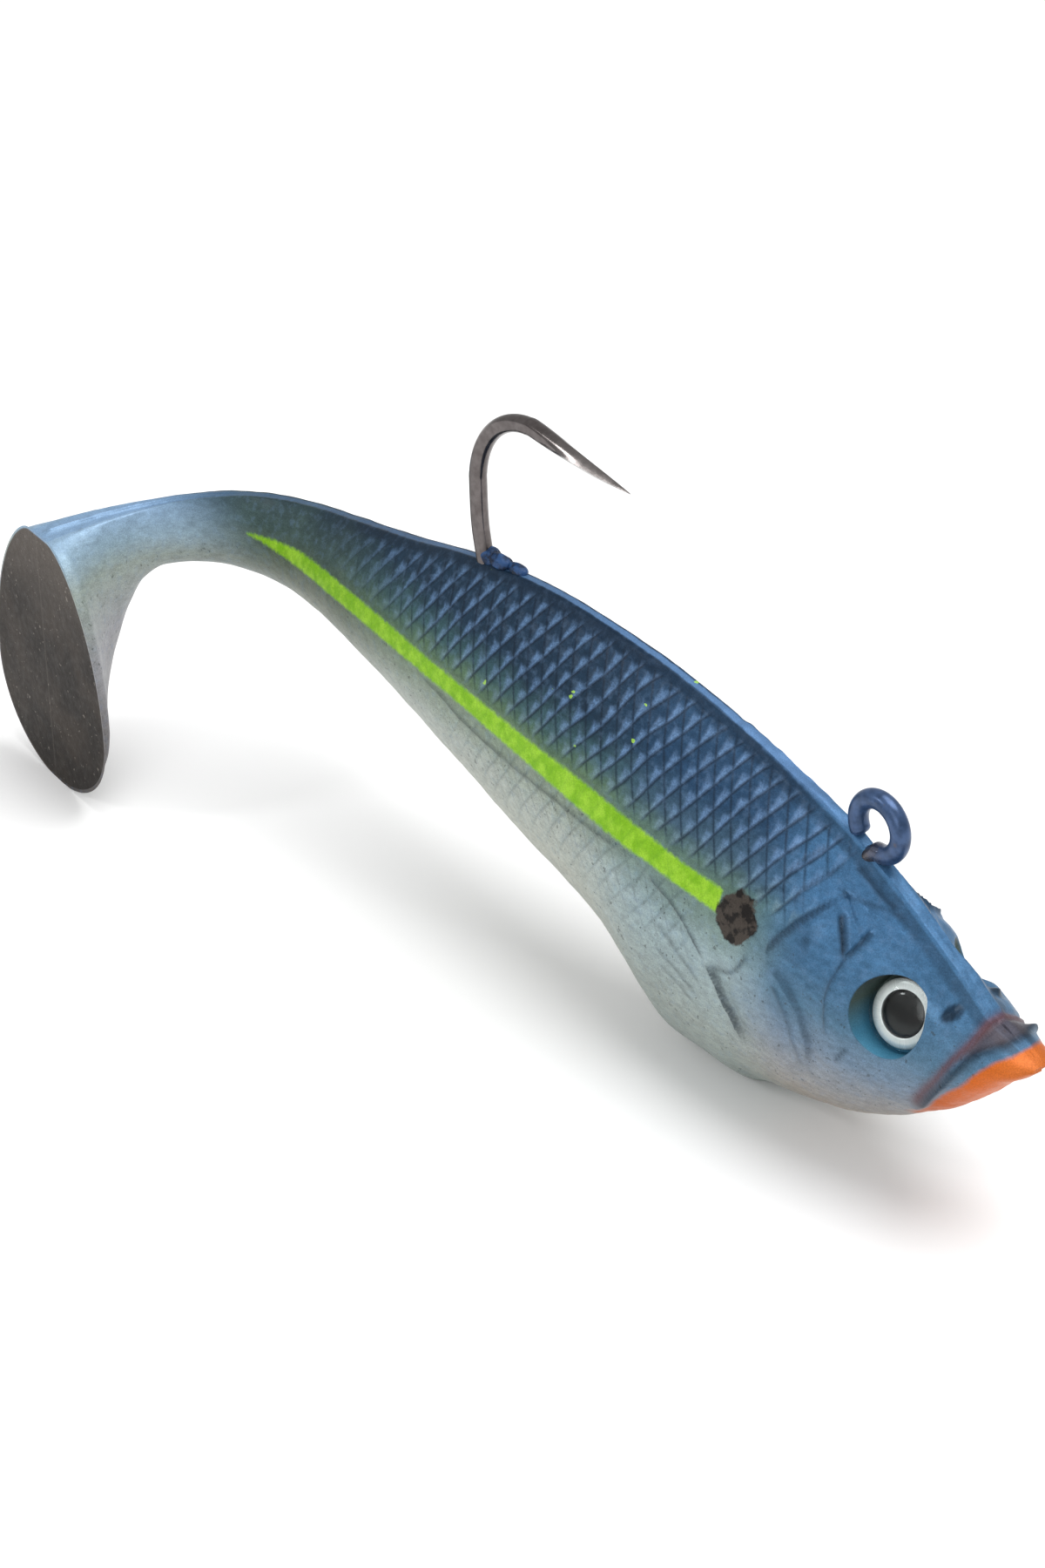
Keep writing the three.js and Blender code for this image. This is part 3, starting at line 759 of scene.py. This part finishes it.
class Paint:
    """A material and short names for the shader nodes that it is wired from."""

    def __init__(self, name, **surface):
        self.material = bpy.data.materials.new(name)
        self.material.use_nodes = True
        self.nodes = self.material.node_tree.nodes
        self.links = self.material.node_tree.links
        self.shader = self.nodes["Principled BSDF"]
        for socket, value in surface.items():
            self.shader.inputs[socket.replace("_", " ").title().replace("Ior", "IOR")].default_value = value

    def wire(self, value, socket):
        if isinstance(value, bpy.types.NodeSocket):
            self.links.new(value, socket)
        else:
            socket.default_value = value

    def surface(self, **values):
        for name, value in values.items():
            self.wire(value, self.shader.inputs[name.replace("_", " ").title()])
        return self

    def number(self, name):
        node = self.nodes.new("ShaderNodeAttribute")
        node.attribute_name = name
        return node.outputs["Fac"]

    def vector(self):
        """Each point's place on the unbent piece, in millimetres."""
        node = self.nodes.new("ShaderNodeAttribute")
        node.attribute_name = "rest"
        return node.outputs["Vector"]

    def math(self, operation, first, second=0.0):
        node = self.nodes.new("ShaderNodeMath")
        node.operation = operation
        self.wire(first, node.inputs[0])
        self.wire(second, node.inputs[1])
        return node.outputs[0]

    def product(self, first, *others):
        for other in others:
            first = self.math("MULTIPLY", first, other)
        return first

    def centred(self, noise, reach):
        """Noise that lies about 0, as wide as reach."""
        return self.product(self.math("SUBTRACT", noise, 0.5), reach)

    def step(self, value, low, high, start=0.0, end=1.0):
        node = self.nodes.new("ShaderNodeMapRange")
        node.interpolation_type = "SMOOTHSTEP"
        self.wire(value, node.inputs["Value"])
        self.wire(low, node.inputs["From Min"])
        self.wire(high, node.inputs["From Max"])
        node.inputs["To Min"].default_value = start
        node.inputs["To Max"].default_value = end
        return node.outputs["Result"]

    def mix(self, share, first, second, way="MIX"):
        node = self.nodes.new("ShaderNodeMix")
        node.data_type, node.blend_type = "RGBA", way
        self.wire(share, node.inputs["Factor"])
        self.wire(colour(first) if isinstance(first, str) else first, node.inputs["A"])
        self.wire(colour(second) if isinstance(second, str) else second, node.inputs["B"])
        return node.outputs["Result"]

    def grey(self, value):
        """A colour with all three parts at one value."""
        node = self.nodes.new("ShaderNodeCombineColor")
        for socket in node.inputs:
            self.wire(value, socket)
        return node.outputs["Color"]

    def ramp(self, value, stops):
        """Colours at values: stops are (value, #colour) in rising order."""
        low, high = stops[0][0], stops[-1][0]
        share = self.math("DIVIDE", self.math("SUBTRACT", value, low), high - low)
        node = self.nodes.new("ShaderNodeValToRGB")
        elements = node.color_ramp.elements
        while len(elements) < len(stops):
            elements.new(0.5)
        for element, (at, code) in zip(elements, stops):
            element.position = (at - low) / (high - low)
            element.color = colour(code)
        self.links.new(share, node.inputs["Fac"])
        return node.outputs["Color"]

    def noise(self, scale, detail=3.0, roughness=0.55, stretch=(1, 1, 1), rest=None):
        where = self.nodes.new("ShaderNodeMapping")
        where.inputs["Scale"].default_value = stretch
        self.links.new(rest or self.vector(), where.inputs["Vector"])
        node = self.nodes.new("ShaderNodeTexNoise")
        self.links.new(where.outputs["Vector"], node.inputs["Vector"])
        node.inputs["Scale"].default_value = scale
        node.inputs["Detail"].default_value = detail
        node.inputs["Roughness"].default_value = roughness
        return node.outputs["Fac"]

    def bump(self, height, distance):
        node = self.nodes.new("ShaderNodeBump")
        node.inputs["Distance"].default_value = distance
        self.links.new(height, node.inputs["Height"])
        self.links.new(node.outputs["Normal"], self.shader.inputs["Normal"])
        return self


class SkinPaint(Paint):
    """Pearl paint on soft plastic: navy scaled back, lime stripe, pale belly, blue head.

    Each coat is a method that takes the colour under it and gives the colour with the coat on."""

    def __init__(self):
        super().__init__(
            "painted_skin", metallic=0.25, specular_ior_level=0.15, coat_weight=0.05, coat_roughness=0.25,
        )
        self.along, self.above, self.height = (self.number(name) for name in ("along", "above", "height"))
        self.fine, self.tiny = self.noise(1.6, 4), self.noise(6.5, 3)
        self.veil = self.centred(self.fine, 0.6)
        self.a, b = (self.math("SUBTRACT", self.math("FRACT", self.number(name)), 0.5)
                     for name in ("scale_a", "scale_b"))
        self.size_a, self.size_b = self.math("ABSOLUTE", self.a), self.math("ABSOLUTE", b)
        # rim marks the scale edges; the coats darken it there as painted shade in the grooves between
        # scales.
        self.rim = self.step(self.math("MAXIMUM", self.size_a, self.product(self.size_b, 0.93)), 0.34, 0.49)
        self.strong = self.math("MINIMUM", self.number("scaled"), 1.0)

    def body_colour(self, tone):
        """Colours from belly to back, on the shoulder, the flank and towards the tail. On the flank they are
        darker at the very bottom, painted shade under the belly, and lighter a little higher up, a painted
        highlight.
        """
        shoulder = self.ramp(tone, [
            (-12, "#a0aaa4"), (-5, "#a0b4b8"), (-2, "#789088"), (0.5, "#607c70"), (2, "#446074"),
            (5, "#284868"), (10, "#305070"),
        ])
        flank = self.ramp(tone, [
            (-16, "#a0a49a"), (-9, "#c0c4b8"), (-5, "#b4bcb4"), (-2, "#8a9a88"), (0.5, "#607c60"),
            (2, "#406064"), (4, "#20384c"), (10, "#1c3650"),
        ])
        tailward = self.ramp(tone, [
            (-9, "#a0a49a"), (-5, "#848a7c"), (-1, "#5c6a58"), (1, "#445854"), (4, "#1c3040"),
            (10, "#1e3448"),
        ])
        body = self.mix(self.step(self.along, -2, -13), shoulder, flank)
        return self.mix(self.step(self.along, -32, -48), body, tailward)

    def base_coat(self):
        wander = self.centred(self.noise(0.28), 2.2)
        tone = self.math("ADD", self.above, wander)
        head = self.ramp(tone, [
            (-14, "#aca296"), (-11, "#a0a0a0"), (-7, "#788ca0"), (-4, "#587c96"), (-1, "#467094"),
            (3, "#4876a0"),
        ])
        # Towards the tail: the light blue band near the top is a painted sheen, and the colour is darker
        # towards the bottom.
        stem = self.ramp(self.height, [
            (0, "#403a34"), (8, "#706c6c"), (15, "#949498"), (20, "#98a29c"), (22, "#90a8b8"),
            (24, "#84a0bc"), (26, "#50748c"),
        ])
        headward = self.step(self.math("ADD", self.along, wander), 5, 12)
        base = self.mix(headward, self.body_colour(tone), head)
        rearward = self.math("ADD", self.along, self.product(self.math("ADD", self.above, 3), 1.1))
        return self.mix(self.step(rearward, -52, -63), base, stem)

    def scales(self, base):
        # Painted reflection: one corner of each scale is painted lighter, where it would mirror the bright
        # floor.
        facet_reflection = self.product(self.math("ADD", self.a, self.product(self.size_b, 0.85)), -1)
        facet_reflection = self.step(self.math("ADD", facet_reflection, self.centred(self.fine, 0.3)), -0.2, 0.22)
        facet_reflection = self.product(facet_reflection, self.step(self.tiny, 0.3, 0.62, 0.5, 1))
        light = self.mix(self.step(self.above, 0, 3.5), "#7f9a9c", "#6d90bb")
        base = self.mix(self.product(facet_reflection, self.strong, 0.8), base, light)
        # Painted shade: the scale edges are darkened where the grooves between scales are in shade.
        return self.mix(self.product(self.rim, self.strong, 0.7), base, "#101f31")

    def weather(self, base):
        """Flecks on the belly, streaks everywhere, and a thin uneven veil."""
        flecks = self.product(self.step(self.noise(2.4, 2, 0.5), 0.66, 0.7), self.step(self.above, 0, -2))
        base = self.mix(self.product(flecks, 0.55), base, "#3d4240")
        streaks = self.step(self.noise(1.1, 5, 0.7, stretch=(1, 1, 2.2)), 0.3, 0.7, 0.68, 0.92)
        streaks = self.math("ADD", streaks, self.step(self.along, -60, -68, 0, 0.16))
        base = self.mix(1.0, base, self.grey(streaks), "MULTIPLY")
        tint = self.mix(self.step(self.fine, 0.45, 0.55), "#1c2b3a", "#7d9cc2")
        return self.mix(self.math("ABSOLUTE", self.veil), base, tint)

    def back(self, base):
        """A painted highlight in a light strip along the ridge, and painted shade in a dark line beside it.
        """
        ridge = self.number("ridge")
        # Painted shade: a dark line beside the ridge.
        beside = self.product(self.step(ridge, 0.02, -0.12), self.step(ridge, -0.95, -0.5))
        beside = self.product(beside, self.step(self.along, -52, -44, 0, 0.45))
        base = self.mix(beside, base, "#12202f")
        # Painted highlight: a light strip along the ridge.
        strip = self.step(self.math("ADD", ridge, self.product(self.veil, 0.3)), -0.06, 0.14)
        strip = self.product(strip, self.step(self.along, 15, 3, 0.12, 1))
        strip = self.product(strip, self.step(self.along, -45, -10, 0.3, 0.8))
        return self.mix(strip, base, "#5a7fab")

    def stripe(self, base):
        edge = self.math("ADD", self.number("stripe"), self.centred(self.noise(3, 3), 0.4))
        lime = self.mix(self.step(self.noise(0.9, 3), 0.35, 0.7), "#78ae1a", "#96c634")
        # Painted shade: the lime is darkened at the scale edges too.
        lime = self.mix(self.product(self.rim, 0.16), lime, "#4f8a1c")
        base = self.mix(self.step(edge, -0.2, 0.2), base, lime)
        specks = self.step(self.noise(0.9, 2, 0.4), 0.775, 0.79)
        return self.mix(self.product(specks, 0.7), base, "#a8d84a")

    def spot(self, base):
        blot = self.math("ADD", self.number("spot"), self.centred(self.noise(0.8, 4, 0.6), 0.7))
        dark = self.mix(self.step(self.noise(1.3, 3), 0.4, 0.54), "#1b1817", "#403a35")
        return self.mix(self.step(blot, 0, 0.13), base, dark)

    def mouth(self, base):
        """Snout, lip and orange throat, then the painted shade in the bottoms of all the cuts."""
        base = self.mix(self.product(self.number("snout"), 0.85), base, "#4a4044")
        base = self.mix(self.product(self.number("lip"), 0.8), base, "#5e3a3c")
        throat = self.step(self.math("ADD", self.number("throat"), self.product(self.veil, 0.4)), -0.1, 0.35)
        orange = self.ramp(self.along, [(17, "#b07550"), (22, "#b5561a"), (27, "#c25f1b"), (30, "#be662c")])
        base = self.mix(throat, base, orange)
        # Painted shade in the cuts, the mouth and the nostril pit; the gill smudge is darkened here too.
        return self.mix(self.product(self.number("cut"), 0.85), base, "#101a26")

    def socket_wall(self, base):
        # Painted light in the socket: dark grey high up is painted shade under the brow, and the teal low
        # down is a painted reflection.
        wall = self.ramp(self.height, [(12, "#4f8fae"), (14, "#3f7894"), (16, "#4a5a55"), (18.5, "#33393a")])
        return self.mix(self.step(self.number("socket"), 0.02, 0.3), base, wall)

    def paddle_face(self, base, face):
        mottle = self.mix(self.step(self.noise(0.22, 4), 0.35, 0.68), "#201b17", "#352e28")
        # The face is lighter towards the top, with a faint lighter vertical line a little off its middle.
        mottle = self.mix(self.step(self.height, 13, 24), mottle, "#544d47")
        off_pale_line = self.math("ABSOLUTE", self.math("SUBTRACT", self.number("across"), 0.4))
        mottle = self.mix(self.product(self.step(off_pale_line, 0.16, 0.04), self.fine, 0.4), mottle, "#6b645d")
        specks = self.step(self.noise(2.6, 2, 0.5), 0.68, 0.72)
        mottle = self.mix(self.product(specks, 0.5), mottle, "#8d867e")
        return self.mix(self.step(face, 0.3, 0.7), base, mottle)


def skin_paint():
    """All the coats in order, then sparkle, roughness and the fine bumps."""
    p = SkinPaint()
    face = p.number("face")
    base = p.base_coat()
    for coat in (p.scales, p.weather, p.back, p.stripe, p.spot, p.mouth, p.socket_wall):
        base = coat(base)
    base = p.paddle_face(base, face)
    sparkle = p.step(p.noise(11, 2, 0.6), 0.3, 0.7, 0.86, 1.16)
    base = p.mix(1.0, base, p.grey(sparkle), "MULTIPLY")
    rough = p.step(p.math("ADD", p.fine, p.product(face, 0.3)), 0.2, 1, 0.34, 0.62)
    groove = p.product(p.math("MAXIMUM", p.size_a, p.size_b), p.strong, -1.6)
    pores = p.math("ADD", p.product(p.fine, 0.35), p.product(p.tiny, 0.3))
    p.surface(base_color=base, roughness=rough)
    return p.bump(p.math("ADD", groove, pores), 0.00006).material


def hook_paint():
    """Black nickel wire; the ring still carries some of the blue body paint."""
    p = Paint("black_nickel_wire", metallic=0.92, specular_ior_level=0.5)
    worn = p.noise(1.4, 4)
    metal = p.mix(p.step(worn, 0.3, 0.7), "#5d5756", "#6f6968")
    # The ground point is painted lighter: a painted highlight on the spear.
    metal = p.mix(p.math("MULTIPLY", p.number("ground"), 0.4), metal, "#a29d9b")
    blue = p.mix(p.step(p.noise(1.2, 3), 0.3, 0.7), "#2c4262", "#41597f")
    patches = p.math("MULTIPLY", p.number("painted"), p.step(p.noise(0.7, 3), 0.22, 0.36))
    rough = p.step(worn, 0.2, 0.8, 0.13, 0.2)
    rough = p.math("ADD", rough, p.math("MULTIPLY", p.number("painted"), 0.14))
    metallic = p.math("SUBTRACT", 0.95, p.math("MULTIPLY", patches, 0.5))
    p.surface(base_color=p.mix(patches, metal, blue), roughness=rough, metallic=metallic)
    return p.bump(p.noise(0.8, 3, stretch=(0.6, 2, 2)), 0.000006).material


def bead_paint():
    """Dark set plastic with lighter blue patches, which are painted highlights."""
    p = Paint("set_plastic", specular_ior_level=0.2)
    base = p.mix(p.step(p.noise(1.1, 4), 0.4, 0.62), "#121f33", "#2b4a75")
    p.surface(base_color=base, roughness=p.step(p.noise(2.3, 3), 0.3, 0.7, 0.28, 0.5))
    return p.bump(p.noise(1.6, 4), 0.00012).material


def foil_paint():
    """Silver printed foil with fine rays."""
    p = Paint("eye_foil", metallic=0.25)
    rays = p.nodes.new("ShaderNodeTexNoise")
    rays.noise_dimensions = "1D"
    p.wire(p.math("MULTIPLY", p.number("turn"), 14), rays.inputs["W"])
    base = p.mix(rays.outputs["Fac"], "#e6e6e4", "#fdfdfb")
    edge = p.step(p.number("radius"), FOIL_RADIUS - 0.2, FOIL_RADIUS)
    base = p.mix(p.math("MULTIPLY", edge, 0.5), base, "#8c8c8a")
    p.surface(base_color=base, roughness=p.step(rays.outputs["Fac"], 0.3, 0.7, 0.22, 0.38))
    return p.material


def pupil_paint():
    """Glossy black print with faint dust."""
    p = Paint("eye_pupil", specular_ior_level=0.3, coat_weight=0.12, coat_roughness=0.04)
    base = p.mix(p.step(p.noise(1.7, 5), 0.5, 0.8), "#080707", "#1d191a")
    p.surface(base_color=base, roughness=p.step(p.noise(3, 3), 0.3, 0.7, 0.12, 0.2))
    return p.material


def lens_paint():
    """Clear resin: see-through, with a gloss that grows towards its edge."""
    p = Paint("eye_resin")
    fresnel = p.nodes.new("ShaderNodeFresnel")
    fresnel.inputs["IOR"].default_value = 1.48
    gloss = p.nodes.new("ShaderNodeBsdfGlossy")
    gloss.inputs["Roughness"].default_value = 0.04
    clear = p.nodes.new("ShaderNodeBsdfTransparent")
    tint = p.mix(p.step(p.noise(1.2, 2), 0.4, 0.7), "#f7fafa", "#fdfefe")
    p.wire(tint, clear.inputs["Color"])
    both = p.nodes.new("ShaderNodeMixShader")
    p.wire(p.math("MULTIPLY", fresnel.outputs["Fac"], 0.3), both.inputs[0])
    p.links.new(clear.outputs[0], both.inputs[1])
    p.links.new(gloss.outputs[0], both.inputs[2])
    p.links.new(both.outputs[0], p.nodes["Material Output"].inputs["Surface"])
    p.nodes.remove(p.shader)
    return p.material


def lead_paint():
    """Cast lead: dull grey with darker oxide in patches."""
    p = Paint("cast_lead_skin", metallic=0.8)
    where = p.nodes.new("ShaderNodeTexCoord").outputs["Object"]
    base = p.mix(p.step(p.noise(500, 5, rest=where), 0.35, 0.7), "#5b5d60", "#8a8c8f")
    p.surface(base_color=base, roughness=p.step(p.noise(900, 4, rest=where), 0.3, 0.7, 0.45, 0.7))
    return p.bump(p.noise(1200, 4, rest=where), 0.0001).material


# ---------------------------------------------------------------- assembly

def finish_piece(piece, material, slot, nodes):
    """Gives a piece its material and hides the CAD nodes that it stands for; slot is not used."""
    piece.data.materials.append(material)
    if nodes:
        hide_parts(*nodes)


def spot_on_spine(x, height=20):
    """A point on the spine in metres."""
    return [float(v) for v in place(x, 0, height) * MM]


def bend_ends(joint):
    """The points between which the skin bends at a joint."""
    return spot_on_spine(JOINTS[joint] + BEND[joint]), spot_on_spine(JOINTS[joint] - BEND[joint])


SKIN_PIECES = [
    ("skin_body", SNOUT_X, CUTS["front"], "body", ("front", "rear"), "soft_body",
     ["soft_body_front", "body_flexure", "soft_body_rear"]),
    ("skin_stem", CUTS["front"], CUTS["rear"], "stem", ("rear", "stem"), "soft_body",
     ["stem_flexure", "tail_stem"]),
    ("skin_paddle", CUTS["rear"], TAIL_X, "kick", ("stem", "paddle"), "paddle",
     ["kick_flexure", "paddle_tail"]),
]


def build_skin():
    """The soft body's three lengths, each reaching across one joint."""
    material = skin_paint()
    for name, front, rear, joint, (ahead, behind), slot, nodes in SKIN_PIECES:
        skin = skin_piece(name, front, rear)
        finish_piece(skin, material, slot, nodes)
        start, end = bend_ends(joint)
        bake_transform(skin)


def build_hook():
    """The hook, and the beads where it leaves the back."""
    wire = hook()
    finish_piece(wire, hook_paint(), "black_nickel", ["hook"])
    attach(wire, "front")
    material = bead_paint()
    for seed, (name, centre, sizes) in enumerate(BEADS, 20):
        bead = lump(name, centre, sizes, seed)
        finish_piece(bead, material, "soft_body", [])
        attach(bead, "front")


def foil_profile():
    """A flat ring with a rounded front."""
    inner, rim = PUPIL_RADIUS + EYE_GAP, FOIL_RADIUS
    return [
        (inner, EYE_BACK), (rim, EYE_BACK), (rim, -0.05), (rim - 0.08, 0.06), (rim - 0.4, 0.16),
        (inner + 0.12, 0.17), (inner, 0.12),
    ]


def pupil_profile():
    """A disc with a slightly domed front."""
    return [
        (0, EYE_BACK), (PUPIL_RADIUS, EYE_BACK), (PUPIL_RADIUS, 0.02), (PUPIL_RADIUS - 0.1, 0.1),
        (PUPIL_RADIUS * 0.7, 0.2), (PUPIL_RADIUS * 0.35, 0.26), (0, 0.28),
    ]


def lens_profile():
    """A dome over the foil and the pupil."""
    tilts = np.radians([0, 8, 20, 35, 50, 65, 80])
    dome = [(FOIL_RADIUS * math.cos(t), DOME_FOOT + DOME_RISE * math.sin(t)) for t in tilts]
    foot = [(0, DOME_FOOT - 0.03), (FOIL_RADIUS * 0.98, DOME_FOOT - 0.03)]
    return foot + dome + [(0, DOME_FOOT + DOME_RISE)]


def build_eyes():
    """Foil ring, pupil and lens on each side."""
    parts = [
        ("eye_ring", foil_profile(), foil_paint(), "eye_silver", "eye_foil"),
        ("eye_disc", pupil_profile(), pupil_paint(), "eye_black", "eye_pupil"),
        ("eye_lens_dome", lens_profile(), lens_paint(), "eye_clear", "eye_lens"),
    ]
    for side, word in ((1, "left"), (-1, "right")):
        for name, profile, material, slot, node in parts:
            piece = lathe(f"{name}_{word}", profile, side)
            finish_piece(piece, material, slot, [f"{node}_{word}"])
            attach(piece, "front")


def paint_weight():
    """The hidden cast weight keeps its CAD shape and gets a material."""
    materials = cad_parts["lead_weight"].data.materials
    materials.clear()
    materials.append(lead_paint())


# ---------------------------------------------------------------- stage, light and camera

def floor():
    """A plain pale floor."""
    near, far = -FLOOR_HALF, FLOOR_HALF
    corners = [(near, near, 0), (far, near, 0), (far, far, 0), (near, far, 0)]
    mesh = bpy.data.meshes.new("floor")
    mesh.from_pydata(corners, [], [(0, 1, 2, 3)])
    ground = bpy.data.objects.new("floor", mesh)
    bpy.context.scene.collection.objects.link(ground)
    white = bpy.data.materials.new("floor_white")
    white.use_nodes = True
    shader = white.node_tree.nodes["Principled BSDF"]
    shader.inputs["Base Color"].default_value = FLOOR_WHITE
    shader.inputs["Roughness"].default_value = 0.9
    shader.inputs["Specular IOR Level"].default_value = 0.1
    mesh.materials.append(white)


def area_light(name, at, towards, size, power):
    """A round soft light at a place, turned towards another."""
    data = bpy.data.lights.new(name, "AREA")
    data.shape, data.size, data.energy = "DISK", size, power
    lamp = bpy.data.objects.new(name, data)
    lamp.location = at
    lamp.rotation_euler = (Vector(towards) - Vector(at)).to_track_quat("-Z", "Y").to_euler()
    bpy.context.scene.collection.objects.link(lamp)


def camera(at, target, lens):
    """The scene's camera."""
    data = bpy.data.cameras.new("camera")
    data.lens, data.sensor_width = lens, 36
    data.clip_start, data.clip_end = 0.01, 10
    view = bpy.data.objects.new("camera", data)
    view.location = at
    view.rotation_mode = "QUATERNION"
    view.rotation_quaternion = (Vector(target) - Vector(at)).to_track_quat("-Z", "Y")
    bpy.context.scene.collection.objects.link(view)
    bpy.context.scene.camera = view


def surroundings():
    """Even white light from all round, shown without a film look."""
    world = bpy.data.worlds.new("studio")
    world.use_nodes = True
    background = world.node_tree.nodes["Background"]
    background.inputs["Color"].default_value = (1, 1, 1, 1)
    background.inputs["Strength"].default_value = WORLD_STRENGTH
    bpy.context.scene.world = world
    bpy.context.scene.view_settings.view_transform = "Standard"


build_skin()
build_hook()
build_eyes()
paint_weight()
floor()
surroundings()
for light_name, light_at, light_size, light_power in LIGHTS:
    area_light(light_name, light_at, LIGHTS_AIM, light_size, light_power)
camera(CAMERA_AT, CAMERA_AIM, CAMERA_LENS)
